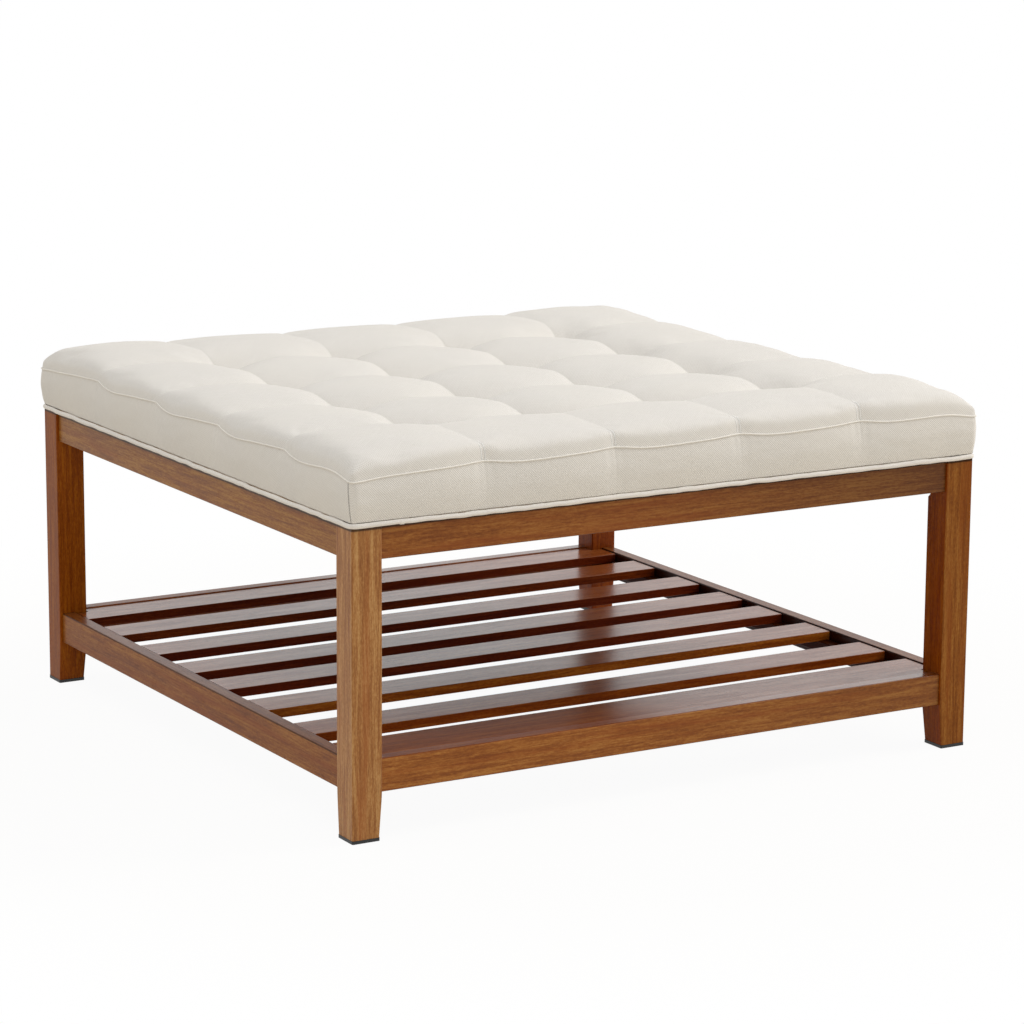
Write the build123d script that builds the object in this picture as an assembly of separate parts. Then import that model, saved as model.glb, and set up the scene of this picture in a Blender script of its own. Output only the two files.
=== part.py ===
from build123d import *
import os

# Square ottoman coffee table: a wooden frame with a slatted shelf and a tufted upholstered top.
# Millimetres, +Z up, origin on the floor under the centre, front towards -Y, slats along X.

# Frame
frame_side = 900.0
leg_side = 40.0
leg_edge = 1.6
foot_side = 36.0
taper_height = 56.0
taper_bend = 240.0
rail_thickness = 19.0
rail_height = 41.0
rail_setback = 4.0
rail_edge = 1.8
shelf_rail_bottom = 58.0
apron_bottom = 340.0
overrun = 5.0

# Flat on the inner corner of each leg, where its bolt pulls it to the corner block
flat_depth = 8.0
flat_runout = 13.0

# Glides
glide_height = 4.0
glide_side = 37.0
glide_edge = 2.0
pin_diameter = 6.0
pin_length = 14.0

# Dowels
dowel_diameter = 8.0
dowel_length = 30.0
dowel_pitch = 21.0
dowel_end = 0.8
hole_clear = 0.15
hole_end_clear = 1.0

# Corner blocks and their hardware
block_gap = 9.0
block_thickness = 22.0
block_lift = 3.0
block_top_clear = 4.0
bolt_diameter = 8.0
bolt_in_leg = 24.0
bolt_tip = 4.0
bolt_clear = 0.5
washer_diameter = 20.0
washer_thickness = 1.8
nut_across = 13.0
nut_height = 6.5
nut_corner = 0.6
block_screw_diameter = 4.5
block_screw_head = 8.6
block_screw_bite = 12.0
block_screw_sink = 3.0
top_screw_spread = 36.0
top_screw_bite = 9.0
top_screw_sink = 10.0
head_height = 2.6

# Shelf
slat_thickness = 12.0
slat_drop = 1.5
slat_width = 58.0
front_board_width = 75.0
slat_edge = 1.0
slat_end_clear = 1.8
board_clear = 0.3
slat_count = 6
# Gaps between the boards from front to back, in shares of the mean gap
gap_shares = (0.85, 1.28, 1.06, 0.73, 0.99, 1.15, 0.94)
ledger_width = 18.0
ledger_height = 15.0
ledger_edge = 1.0
shelf_screw_diameter = 3.5
shelf_screw_head = 7.0
ledger_screw_bite = 13.0
slat_screw_bite = 8.0

# Upholstered top
top_over = 3.0
panel_thickness = 12.0
panel_edge = 1.5
cover_wall = 9.0
pocket_clear = 0.3
foam_height = 40.0
welt_diameter = 6.0
welt_proud = 2.0
welt_corner = 9.0
boxing_clear = 0.3
seam_over_foam = 9.7
pillows = 5
seam_draw = 5.0
hem_draw = 1.5
side_swell = 1.5
hem_inset = 1.5
crest_rise = 25.0
valley_rise = 21.5
shoulder_rise = 22.5
lip_rise = 13.0
tuft_dip = 16.0
shoulder_in = 40.0
lip_in = 10.0
edge_drop = 7.0
edge_over = 6.0
end_share = 0.02

# Tuft ties, dust cover and staples
tie_diameter = 2.0
tie_hole = 8.0
toggle_length = 22.0
toggle_diameter = 4.0
recess_diameter = 26.0
recess_depth = 5.0
dust_thickness = 0.8
dust_clear = 1.0
dust_corner = 36.0
staples_per_side = 3
staple_pitch = 260.0
staple_inset = 10.0
staple_width = 11.0
staple_wire = 1.1
staple_leg = 6.0

# Places that follow from the sizes
half_frame = frame_side / 2
top_side = frame_side + 2 * top_over
half_top = top_side / 2
leg_inner = half_frame - leg_side
rail_outer = half_frame - rail_setback
rail_inner = rail_outer - rail_thickness
rail_middle = (rail_outer + rail_inner) / 2
foot_middle = half_frame - foot_side / 2
frame_top = apron_bottom + rail_height
shelf_rail_top = shelf_rail_bottom + rail_height
slat_top = shelf_rail_top - slat_drop
slat_bottom = slat_top - slat_thickness
ledger_bottom = slat_bottom - ledger_height
ledger_inner = rail_inner - ledger_width
panel_top = frame_top + panel_thickness
foam_top = panel_top + foam_height
pocket_top = foam_top + pocket_clear
seam_height = pocket_top + seam_over_foam
panel_half = half_top - cover_wall
hem_height = frame_top + welt_diameter + boxing_clear
pillow = top_side / pillows
diagonal = 2 ** 0.5
rail_levels = (shelf_rail_bottom, apron_bottom)
sides = ("front", "right", "back", "left")
corners = (("front_left", -1, -1), ("front_right", 1, -1), ("back_left", -1, 1), ("back_right", 1, 1))
tuft_lines = [pillow * k - half_top for k in range(1, pillows)]


def block(x0, x1, y0, y1, z0, z1):
    """A box between two corners."""
    solid = Box(x1 - x0, y1 - y0, z1 - z0, align=(Align.MIN, Align.MIN, Align.MIN))
    return Pos(x0, y0, z0) * solid


def rod(start, direction, length, diameter):
    """A round bar from a point, along a direction."""
    bar = Cylinder(diameter / 2, length, align=(Align.CENTER, Align.CENTER, Align.MIN))
    return Plane(origin=start, z_dir=direction) * bar


def eased(solid, axis, radius):
    """The edges along an axis, rounded."""
    return fillet(solid.edges().filter_by(axis), radius)


def to_corner(shape, sx, sy):
    """A piece built at the back right corner, mirrored to the corner that the signs name."""
    if sx < 0:
        shape = mirror(shape, about=Plane.YZ)
    if sy < 0:
        shape = mirror(shape, about=Plane.XZ)
    return shape


def to_side(shape, index):
    """A piece built along the front, turned to side 0 front, 1 right, 2 back or 3 left."""
    return Rot(0, 0, index * 360 / len(sides)) * shape


def less(piece, cutters):
    """A piece with each cutter taken out of it."""
    for cutter in cutters:
        piece -= cutter
    return piece


def save(node, *pieces):
    """One STEP file, named after its node; like fasteners are one group of separate solids."""
    solids = [solid for piece in pieces for solid in piece.solids()]
    shape = solids[0] if len(solids) == 1 else Compound(children=solids)
    export_step(shape, "parts/" + node + ".step")


# Fasteners

def wood_screw(head, direction, length, diameter, head_diameter):
    """A countersunk screw: the middle of its head, its direction and its length."""
    base = (Align.CENTER, Align.CENTER, Align.MIN)
    cone = Cone(head_diameter / 2, diameter / 2, head_height, align=base)
    shank = Cylinder(diameter / 2, length - diameter, align=base)
    point = Pos(0, 0, length - diameter) * Cone(diameter / 2, diameter / 8, diameter, align=base)
    return Plane(origin=head, z_dir=direction) * (cone + shank + point)


def dowel(centre, direction):
    """A dowel with chamfered ends, half in each piece of its joint."""
    pin = Cylinder(dowel_diameter / 2, dowel_length)
    pin = chamfer(pin.edges().filter_by(GeomType.CIRCLE), dowel_end)
    return Plane(origin=centre, z_dir=direction) * pin


def dowel_hole(centre, direction):
    """The bores that a dowel sits in, a little deeper than the dowel is long."""
    bore = Cylinder(dowel_diameter / 2 + hole_clear, dowel_length + 2 * hole_end_clear)
    return Plane(origin=centre, z_dir=direction) * bore


def dowel_heights(rail_bottom):
    middle = rail_bottom + rail_height / 2
    return (middle - dowel_pitch / 2, middle + dowel_pitch / 2)


def rail_dowels(rail_bottom):
    """Two dowels in each end of the four rails at one level."""
    pins = []
    for index in range(len(sides)):
        for z in dowel_heights(rail_bottom):
            for end in (-leg_inner, leg_inner):
                pins.append(to_side(dowel((end, -rail_middle, z), (1, 0, 0)), index))
    return pins


# Corner blocks. Places are measured from the inner corner of a leg towards the middle of the table:
# a against X and b against Y, so a line across the corner has one sum of a and b.

near_sum = block_gap * diagonal - flat_depth
far_sum = near_sum + block_thickness * diagonal
apron_b = leg_inner - rail_inner
block_bottom = apron_bottom + block_lift
block_height = rail_height - block_lift - block_top_clear
block_middle = block_bottom + block_height / 2
inward = (-1, -1, 0)


def place(a, b, z):
    return (leg_inner - a, leg_inner - b, z)


def on_diagonal(total):
    """The place on the corner's diagonal with this sum of a and b."""
    return place(total / 2, total / 2, block_middle)


def hanger_bolt():
    """Screwed into the leg at one end, through the block to the nut at the other."""
    past_leg = block_gap + block_thickness + washer_thickness + nut_height + bolt_tip
    start = on_diagonal(-flat_depth - bolt_in_leg * diagonal)
    bolt = rod(start, inward, bolt_in_leg + past_leg, bolt_diameter)
    return chamfer(bolt.edges().filter_by(GeomType.CIRCLE), nut_corner)


def hanger_washer():
    disc = rod(on_diagonal(far_sum), inward, washer_thickness, washer_diameter)
    return disc - hanger_bolt()


def hanger_nut():
    seat = Plane(origin=on_diagonal(far_sum + washer_thickness * diagonal), z_dir=inward)
    nut = extrude(seat * RegularPolygon(nut_across / 2, 6, major_radius=False), amount=nut_height)
    return nut - hanger_bolt()


def block_screws():
    """One screw through each mitred end of the block, square into its apron."""
    along = (near_sum + far_sum) / 2 - apron_b
    head_b = far_sum - along - block_screw_sink
    length = head_b - apron_b + block_screw_bite
    size = (length, block_screw_diameter, block_screw_head)
    return [
        wood_screw(place(along, head_b, block_middle), (0, 1, 0), *size),
        wood_screw(place(head_b, along, block_middle), (1, 0, 0), *size),
    ]


def top_screws():
    """Two screws up through the block into the panel of the top."""
    centre = (near_sum + far_sum) / 4
    shift = top_screw_spread / 2 / diagonal
    start = block_bottom + top_screw_sink
    length = frame_top + top_screw_bite - start
    return [
        wood_screw(place(centre + side * shift, centre - side * shift, start), (0, 0, 1), length,
                   block_screw_diameter, block_screw_head)
        for side in (-1, 1)
    ]


def head_way(a, b, z, direction):
    """The clearance that lets a sunk screw head in from outside the block."""
    return rod(place(a, b, z), direction, block_height, block_screw_head)


def corner_block():
    """A mitred hardwood block across the corner, bored for its bolt and screws."""
    outline = [(near_sum - apron_b, apron_b), (far_sum - apron_b, apron_b),
               (apron_b, far_sum - apron_b), (apron_b, near_sum - apron_b)]
    points = [place(a, b, block_bottom)[:2] for a, b in outline]
    wood = extrude(Pos(0, 0, block_bottom) * make_face(Polyline(*points, close=True)), amount=block_height)
    wood -= rod(on_diagonal(0), inward, far_sum, bolt_diameter + bolt_clear)
    along = (near_sum + far_sum) / 2 - apron_b
    head_b = far_sum - along - block_screw_sink
    wood = less(wood, block_screws() + top_screws())
    wood -= head_way(along, head_b, block_middle, (0, -1, 0))
    wood -= head_way(head_b, along, block_middle, (-1, 0, 0))
    centre = (near_sum + far_sum) / 4
    shift = top_screw_spread / 2 / diagonal
    for side in (-1, 1):
        a, b = centre + side * shift, centre - side * shift
        wood -= head_way(a, b, block_bottom + top_screw_sink, (0, 0, -1))
    return wood


# Legs: square above the shelf, the two inner faces tapering below it

def leg_profile():
    """The side of a leg: straight outside, and inside a soft bend into the taper."""
    foot_inner = half_frame - foot_side
    points = [(half_frame, glide_height), (half_frame, frame_top), (leg_inner, frame_top),
              (leg_inner, taper_height), (foot_inner, glide_height)]
    side = make_face(Polyline(*points, close=True))
    bend = side.vertices().sort_by_distance((leg_inner, taper_height, 0))[0]
    return fillet(bend, taper_bend)


def corner_flat():
    """The cut of the bolt's flat, down to its curved run-out just below the apron."""
    depth = flat_depth / diagonal
    low = apron_bottom - flat_runout
    high = frame_top + overrun
    curve = TangentArc((depth, apron_bottom), (0, low), tangent=(0, -1))
    rest = Polyline((0, low), (-depth, low), (-depth, high), (depth, high), (depth, apron_bottom))
    plane = Plane(origin=(leg_inner, leg_inner, 0), x_dir=(1, 1, 0), z_dir=(1, -1, 0))
    return extrude(plane * make_face([curve] + rest.edges()), amount=leg_side, both=True)


def leg():
    side = leg_profile()
    post = extrude(Plane.XZ * side, amount=-frame_side) & extrude(Plane.YZ * side, amount=frame_side)
    upright = [edge for edge in post.edges() if edge.bounding_box().size.Z > leg_edge]
    post = fillet(upright, leg_edge)
    post -= corner_flat()
    for bottom in rail_levels:
        for z in dowel_heights(bottom):
            post -= dowel_hole((leg_inner, rail_middle, z), (1, 0, 0))
            post -= dowel_hole((rail_middle, leg_inner, z), (0, 1, 0))
    post -= hanger_bolt()
    return post - glide()


def glide():
    """A foot pad with its pin, a little wider than the tapered end of the leg."""
    pad = Pos(foot_middle, foot_middle, glide_height / 2) * Box(glide_side, glide_side, glide_height)
    pad = eased(pad, Axis.Z, glide_edge)
    return pad + rod((foot_middle, foot_middle, 0), (0, 0, 1), glide_height + pin_length, pin_diameter)


# Rails round the shelf, and aprons under the top

def rail(bottom):
    bar = block(-leg_inner, leg_inner, -rail_outer, -rail_inner, bottom, bottom + rail_height)
    bar = eased(bar, Axis.X, rail_edge)
    for z in dowel_heights(bottom):
        for end in (-leg_inner, leg_inner):
            bar -= dowel_hole((end, -rail_middle, z), (1, 0, 0))
    return bar


def apron():
    """A rail that also takes the screws of its two corner blocks."""
    bar = rail(apron_bottom)
    screw = block_screws()[0]
    return less(bar, [to_corner(screw, sx, -1) for sx in (-1, 1)])


# Shelf: boards on two ledgers

def board_spans():
    """Front and back edge of every board, the wide one first."""
    inside = 2 * (rail_inner - board_clear)
    wood = front_board_width + (slat_count + 1) * slat_width
    mean_gap = (inside - wood) / sum(gap_shares) * len(gap_shares) / (slat_count + 1)
    spans = [(board_clear - rail_inner, board_clear - rail_inner + front_board_width)]
    for share in gap_shares:
        start = spans[-1][1] + share * mean_gap
        spans.append((start, start + slat_width))
    return spans


def side_screws(spans):
    """Screws that hold the right ledger to its rail, in every other gap."""
    middles = [(near[1] + far[0]) / 2 for near, far in zip(spans, spans[1:])]
    size = (ledger_width + ledger_screw_bite, shelf_screw_diameter, shelf_screw_head)
    height = ledger_bottom + ledger_height / 2
    return [wood_screw((ledger_inner, y, height), (1, 0, 0), *size) for y in middles[::2]]


def slat_screws(spans):
    """Screws from below through the right ledger, one into each board."""
    size = (ledger_height + slat_screw_bite, shelf_screw_diameter, shelf_screw_head)
    x = rail_inner - ledger_width / 2
    return [wood_screw((x, (y0 + y1) / 2, ledger_bottom), (0, 0, 1), *size) for y0, y1 in spans]


def shelf_board(span, screws):
    """A board from ledger to ledger, notched where it meets the legs."""
    end = rail_inner - slat_end_clear
    board = block(-end, end, span[0], span[1], slat_bottom, slat_top)
    board = eased(board, Axis.X, slat_edge)
    notch = leg_inner - slat_end_clear
    leg_room = block(notch, half_frame, notch, half_frame, slat_bottom - overrun, slat_top + overrun)
    board = less(board, [to_corner(leg_room, sx, sy) for _, sx, sy in corners])
    return less(board, [to_corner(screw, sx, 1) for screw in screws for sx in (-1, 1)])


def ledger(screws):
    end = leg_inner - slat_end_clear
    strip = block(ledger_inner, rail_inner, -end, end, ledger_bottom, slat_bottom)
    return less(eased(strip, Axis.Y, ledger_edge), screws)


# Upholstered top: panel, foam, cover, welt, ties, dust cover

def tie_places():
    return [(x, y) for x in tuft_lines for y in tuft_lines]


def toggle(x, y):
    """The bar that a tie is pulled down to, in its recess under the panel."""
    height = frame_top + recess_depth - toggle_diameter / 2
    return rod((x - toggle_length / 2, y, height), (1, 0, 0), toggle_length, toggle_diameter)


def tie(x, y):
    """The cord of one tuft, from the cover down to its toggle."""
    start = frame_top + recess_depth
    return rod((x, y, start), (0, 0, 1), pocket_top - start, tie_diameter)


def panel(screws, staples):
    """Plywood panel, with a hole and a recess for every tie."""
    sheet = block(-panel_half, panel_half, -panel_half, panel_half, frame_top, panel_top)
    sheet = eased(sheet, Axis.Z, panel_edge)
    for x, y in tie_places():
        sheet -= rod((x, y, frame_top), (0, 0, 1), panel_thickness + overrun, tie_hole)
        sheet -= rod((x, y, frame_top - overrun), (0, 0, 1), recess_depth + overrun, recess_diameter)
    return less(sheet, screws + staples)


def foam():
    pad = block(-panel_half, panel_half, -panel_half, panel_half, panel_top, foam_top)
    pad = eased(pad, Axis.Z, panel_edge)
    return less(pad, [tie(x, y) for x, y in tie_places()])


def welt():
    """The piping round the bottom edge of the cover, resting on the frame."""
    reach = half_frame + welt_proud - welt_diameter / 2
    loop = RectangleRounded(2 * reach, 2 * reach, welt_corner).wire()
    path = Pos(0, 0, frame_top + welt_diameter / 2) * loop
    start = path @ 0
    ring = Plane(origin=start, z_dir=path % 0) * Circle(welt_diameter / 2)
    return sweep(ring, path=path)


def boxing_section(z, half, draw, swell):
    """Outline of the side band at one height: drawn in at the tuft lines, full between them."""
    step = 2 * half / pillows
    edges = []
    for k in range(pillows):
        x0, x1 = k * step - half, (k + 1) * step - half
        y0 = -half if k == 0 else draw - half
        y1 = -half if k == pillows - 1 else draw - half
        arc = ThreePointArc((x0, y0, z), ((x0 + x1) / 2, -half - swell, z), (x1, y1, z))
        edges += [to_side(arc, index) for index in range(len(sides))]
    return make_face(edges)


def boxing():
    """The side band of the cover, carried straight up past the crown."""
    middle = (hem_height + seam_height) / 2
    mean_draw = (hem_draw + seam_draw) / 2
    seam = boxing_section(seam_height, half_top - side_swell, seam_draw, side_swell)
    band = loft([
        boxing_section(hem_height, half_top - hem_inset - side_swell, hem_draw, side_swell),
        boxing_section(middle, half_top - side_swell, mean_draw, 2 * side_swell),
        seam,
    ])
    return band + extrude(seam, amount=crest_rise + overrun, dir=(0, 0, 1))


def crown_rise(kind):
    """Height over the seam, along one way, at the kinds of place that a row passes."""
    heights = {"end": -edge_drop, "lip": lip_rise, "shoulder": shoulder_rise,
               "valley": valley_rise, "crest": crest_rise}
    return heights[kind]


def crown_rows():
    """The rows that the crown is lofted through, from front to back: place and kind."""
    rows = [(half_top + edge_over, "end"), (half_top - lip_in, "lip"), (half_top - shoulder_in, "shoulder")]
    front = [(-y, kind) for y, kind in rows]
    inner = []
    for k in range(pillows):
        inner.append(((k + 0.5) * pillow - half_top, "crest"))
        if k < pillows - 1:
            inner.append((tuft_lines[k], "valley"))
    return front + inner + rows[::-1]


def crown_height(across, along):
    """Height of the crown where two kinds of line cross; tufts dip where two valleys do."""
    full = crest_rise + edge_drop
    share = (crown_rise(along) + edge_drop) / full
    rise = (crown_rise(across) + edge_drop) * max(share, end_share) - edge_drop
    dip = tuft_dip if across == along == "valley" else 0
    return seam_height + rise - dip


def crown_section(y, along):
    """One row across the crown, as arcs from valley to valley over the flat underside."""
    line = [(x, kind) for x, kind in crown_rows()]
    points = [(x, y, crown_height(kind, along)) for x, kind in line]
    tops = [points[0:3]] + [points[k:k + 3] for k in range(2, len(points) - 3, 2)] + [points[-3:]]
    edges = [ThreePointArc(*three) for three in tops]
    left, right = points[0], points[-1]
    low = hem_height - overrun
    edges.append(Polyline(right, (right[0], y, low), (left[0], y, low), left))
    return make_face(Wire([edge for item in edges for edge in item.edges()]))


def cover():
    """Sewn cover with its fibre wrap: boxing and tufted crown over a pocket for the foam."""
    crown = loft([crown_section(y, kind) for y, kind in crown_rows()])
    half = panel_half + pocket_clear
    pocket = block(-half, half, -half, half, hem_height - overrun, pocket_top)
    return (crown & boxing()) - pocket


def dust_cover(staples):
    """A thin sheet under the panel, inside the aprons, cut off at the corner blocks."""
    half = rail_inner - dust_clear
    sheet = block(-half, half, -half, half, frame_top - dust_thickness, frame_top)
    sheet = chamfer(sheet.edges().filter_by(Axis.Z), dust_corner)
    screws = [to_corner(screw, sx, sy) for screw in top_screws() for _, sx, sy in corners]
    return less(sheet, screws + staples)


def dust_staples():
    """Wire staples along the edges of the dust cover, their legs up into the panel."""
    half = staple_width / 2
    low = frame_top - dust_thickness - staple_wire
    y = staple_inset - rail_inner
    bar = block(-half, half, y, y + staple_wire, low, low + staple_wire)
    prong = block(half - staple_wire, half, y, y + staple_wire, low, low + staple_wire + staple_leg)
    staple = bar + prong + mirror(prong, about=Plane.YZ)
    shifts = [(k - (staples_per_side - 1) / 2) * staple_pitch for k in range(staples_per_side)]
    return [to_side(Pos(x, 0, 0) * staple, index) for index in range(len(sides)) for x in shifts]


def build():
    os.makedirs("parts", exist_ok=True)
    one_leg, one_glide, one_block = leg(), glide(), corner_block()
    for name, sx, sy in corners:
        save(name + "_leg", to_corner(one_leg, sx, sy))
        save(name + "_glide", to_corner(one_glide, sx, sy))
        save(name + "_corner_block", to_corner(one_block, sx, sy))

    shelf_rail, one_apron = rail(shelf_rail_bottom), apron()
    spans = board_spans()
    right_screws = side_screws(spans)
    board_screws = slat_screws(spans)
    for index, name in enumerate(sides):
        low_rail = to_side(shelf_rail, index)
        if name in ("left", "right"):
            way = 1 if name == "right" else -1
            low_rail = less(low_rail, [to_corner(screw, way, 1) for screw in right_screws])
        save(name + "_shelf_rail", low_rail)
        save(name + "_apron", to_side(one_apron, index))

    one_ledger = ledger(right_screws + board_screws)
    save("right_shelf_ledger", one_ledger)
    save("left_shelf_ledger", to_corner(one_ledger, -1, 1))
    save("ledger_screws", *[to_corner(screw, sx, 1) for screw in right_screws for sx in (-1, 1)])
    save("slat_screws", *[to_corner(screw, sx, 1) for screw in board_screws for sx in (-1, 1)])
    names = ["front_shelf_board"] + ["shelf_slat_" + str(k + 1) for k in range(slat_count)] + ["back_shelf_board"]
    for name, span, screw in zip(names, spans, board_screws):
        save(name, shelf_board(span, [screw]))

    save("shelf_rail_dowels", *rail_dowels(shelf_rail_bottom))
    save("apron_dowels", *rail_dowels(apron_bottom))
    save("hanger_bolts", *[to_corner(hanger_bolt(), sx, sy) for _, sx, sy in corners])
    save("hanger_washers", *[to_corner(hanger_washer(), sx, sy) for _, sx, sy in corners])
    save("hanger_nuts", *[to_corner(hanger_nut(), sx, sy) for _, sx, sy in corners])
    save("block_screws", *[to_corner(screw, sx, sy) for screw in block_screws() for _, sx, sy in corners])
    fixing = [to_corner(screw, sx, sy) for screw in top_screws() for _, sx, sy in corners]
    save("top_screws", *fixing)

    staples = dust_staples()
    save("top_panel", panel(fixing, staples))
    save("foam_pad", foam())
    save("tufted_cover", cover())
    save("bottom_welt", welt())
    save("tuft_ties", *[tie(x, y) for x, y in tie_places()])
    save("tuft_toggles", *[toggle(x, y) for x, y in tie_places()])
    save("dust_cover", dust_cover(staples))
    save("dust_cover_staples", *staples)


build()
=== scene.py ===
"""Looks of a square ottoman coffee table: a walnut frame with a slatted shelf and a tufted linen top.

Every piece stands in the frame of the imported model, in metres, and rides on its one body."""

import math

import bmesh
import bpy
from bpy.props import FloatProperty, FloatVectorProperty, IntProperty, PointerProperty
from mathutils import Matrix, Vector, noise


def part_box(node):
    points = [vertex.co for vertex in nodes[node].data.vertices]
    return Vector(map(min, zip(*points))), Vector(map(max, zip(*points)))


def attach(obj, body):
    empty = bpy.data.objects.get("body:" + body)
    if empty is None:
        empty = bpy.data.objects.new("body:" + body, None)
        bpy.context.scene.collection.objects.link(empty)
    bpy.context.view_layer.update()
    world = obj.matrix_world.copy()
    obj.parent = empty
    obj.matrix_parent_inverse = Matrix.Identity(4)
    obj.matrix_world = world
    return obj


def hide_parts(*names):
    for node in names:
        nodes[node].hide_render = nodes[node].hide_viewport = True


bl_info = {
    "name": "Ottoman Coffee Table",
    "version": (1, 0, 0),
    "blender": (4, 5, 0),
    "location": "View3D > Sidebar > Ottoman",
    "description": "Finishes, upholstery and stage of a square ottoman coffee table",
    "category": "Add Mesh",
}

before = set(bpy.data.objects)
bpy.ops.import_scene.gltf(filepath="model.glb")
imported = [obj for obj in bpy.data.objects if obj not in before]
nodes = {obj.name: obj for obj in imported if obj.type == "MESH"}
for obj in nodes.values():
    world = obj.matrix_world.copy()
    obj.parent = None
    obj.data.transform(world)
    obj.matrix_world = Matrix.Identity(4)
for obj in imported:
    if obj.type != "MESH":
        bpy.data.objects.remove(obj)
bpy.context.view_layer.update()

CORNERS = ("front_left", "front_right", "back_left", "back_right")
MM = 0.001


# Sizes and colours

def length(name, description, default, **more):
    """A length that a user may change, in metres."""
    return FloatProperty(name=name, description=description, default=default, unit="LENGTH", precision=4,
                         **more)


def colour(name, description, default):
    """A surface colour, in the linear values that the shaders take."""
    return FloatVectorProperty(name=name, description=description, default=default, subtype="COLOR",
                               size=3, min=0, max=1)


def shade(red, green, blue):
    """Linear values of a colour given as it looks on screen, from 0 to 255."""
    def linear(c):
        c /= 255
        return c / 12.92 if c <= 0.04045 else ((c + 0.055) / 1.055) ** 2.4
    return tuple(linear(c) for c in (red, green, blue))


class OttomanWood(bpy.types.PropertyGroup):
    deep: colour("Deep grain", "Walnut in its darkest streaks", shade(114, 56, 16))
    middle: colour("Middle", "Walnut between the streaks", shade(158, 96, 40))
    light: colour("Light", "Walnut in its palest streaks", shade(190, 132, 66))
    red: colour("Red streak", "Reddish heartwood tint", shade(150, 76, 26))
    pale: colour("Hidden wood", "Beech of the blocks and dowels", shade(206, 172, 128))
    streak: length("Streak width", "Width of the broad streaks across the grain", 0.0075, min=0.002)


class OttomanCushion(bpy.types.PropertyGroup):
    half_side: length("Half side", "Middle to the fullest place of the side band", 0.453)
    pillows: IntProperty(name="Pillows", description="Pillows along each side", default=5, min=2)
    seam: length("Seam height", "Height of the top seam between the tuft lines", 0.4413)
    seam_lift: length("Seam lift", "How far each tuft line pulls the seam up", 0.003)
    seam_skew: length("Seam skew", "How much lower the end seams hang just after each tuft line", 0.0009)
    side_skew: length("Side seam skew", "The same along the left and the right", 0.0023)
    seam_draw: length("Seam draw", "How far each tuft line pulls the seam in", 0.006)
    corner_drop: length("Corner drop", "How far the seam falls at the corners", 0.005)
    crest: length("Crest", "Height of the middle pillows over the seam", 0.0225)
    edge_crest: length("Edge crest", "Further height of the pillows along the edges", 0.003)
    corner_crest: length("Corner crest", "Further height of the corner pillows", 0.004)
    lean: length("Lean", "How much the stuffing falls off towards the back right", 0.0042)
    shoulder: length("Shoulder", "Distance in which the front and back edges round over", 0.011)
    side_shoulder: length("Side shoulder", "Distance in which the left and right edges round over", 0.024)
    slope: length("Slope", "Distance from the front and back seams to the full height", 0.095)
    side_slope: length("Side slope", "Distance from the left and right seams to the full height", 0.070)
    rounded: FloatProperty(name="Rounded", description="Share of the height that the shoulder takes",
                           default=0.74, max=1)
    corner_soft: FloatProperty(name="Corner softness", default=1.3, min=0,
                               description="How much wider the shoulder is at the corners")
    worn_soft: FloatProperty(name="Worn corner", default=2.6, min=0,
                             description="The same at the softest corner, at the front right")
    valley: length("Valley", "Depth of the cloth halfway between two tufts", 0.008)
    front_valley: length("Front valley", "Depth between the pillows along the front", 0.0015)
    back_valley: length("Back valley", "Depth between the pillows along the back", 0.0040)
    side_valley: length("Side valley", "Depth between the pillows along the left and the right", 0.0065)
    well: length("Well", "Depth of the cloth at a tuft", 0.030)
    swell_power: FloatProperty(name="Swell", description="How square the pillows are", default=2.4, min=1)
    pleat: length("Pleat", "Depth of the pleats out to the seam", 0.0016)
    press: FloatProperty(name="Press", description="Pressure of the foam under the cloth", default=4, min=0)
    most: length("Most give", "The furthest that the cloth may be pushed out of its cut shape", 0.0035)
    hem: length("Hem", "Height of the lower edge of the side band", 0.3876)
    cloth: colour("Linen", "Cloth of the cover", shade(240, 236, 230))
    thread: length("Thread", "Height between the slanting threads of the cloth", 0.0029)
    welt_wide: length("Welt width", "Thickness of the flattened piping", 0.0054)
    welt_tall: length("Welt height", "Height of the flattened piping", 0.0060)


class OttomanStage(bpy.types.PropertyGroup):
    key: FloatProperty(name="Key light", description="Power of the large lamp on the right",
                       default=300, unit="POWER")
    fill: FloatProperty(name="Fill light", description="Power of the soft lamp overhead",
                        default=62, unit="POWER")
    sky: FloatProperty(name="Room light", description="Strength of the white room", default=0.57, min=0)
    floor: colour("Floor", "Pale floor", shade(236, 228, 213))


# Shader maths

class Wire:
    """A shader socket that arithmetic can be written with."""

    def __init__(self, finish, socket):
        self.finish = finish
        self.socket = socket

    def _math(self, operation, *values):
        return self.finish.add("ShaderNodeMath", {"operation": operation}, dict(enumerate(values)))

    def __add__(self, other):
        return self._math("ADD", self, other)

    def __sub__(self, other):
        return self._math("SUBTRACT", self, other)

    def __rsub__(self, other):
        return self._math("SUBTRACT", other, self)

    def __mul__(self, other):
        return self._math("MULTIPLY", self, other)

    def __pow__(self, other):
        return self._math("POWER", self, other)

    def __abs__(self):
        return self._math("ABSOLUTE", self)

    def __gt__(self, other):
        return self._math("GREATER_THAN", self, other)

    def __lt__(self, other):
        return self._math("LESS_THAN", self, other)

    def sine(self):
        return self._math("SINE", self)

    def most(self, other):
        return self._math("MAXIMUM", self, other)

    def least(self, other):
        return self._math("MINIMUM", self, other)

    def ramp(self, low, high):
        """0 up to low, 1 from high, and a smooth rise between."""
        return self.finish.add("ShaderNodeMapRange", {"interpolation_type": "SMOOTHSTEP"},
                               {"Value": self, "From Min": low, "From Max": high})

    __radd__ = __add__
    __rmul__ = __mul__


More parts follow.
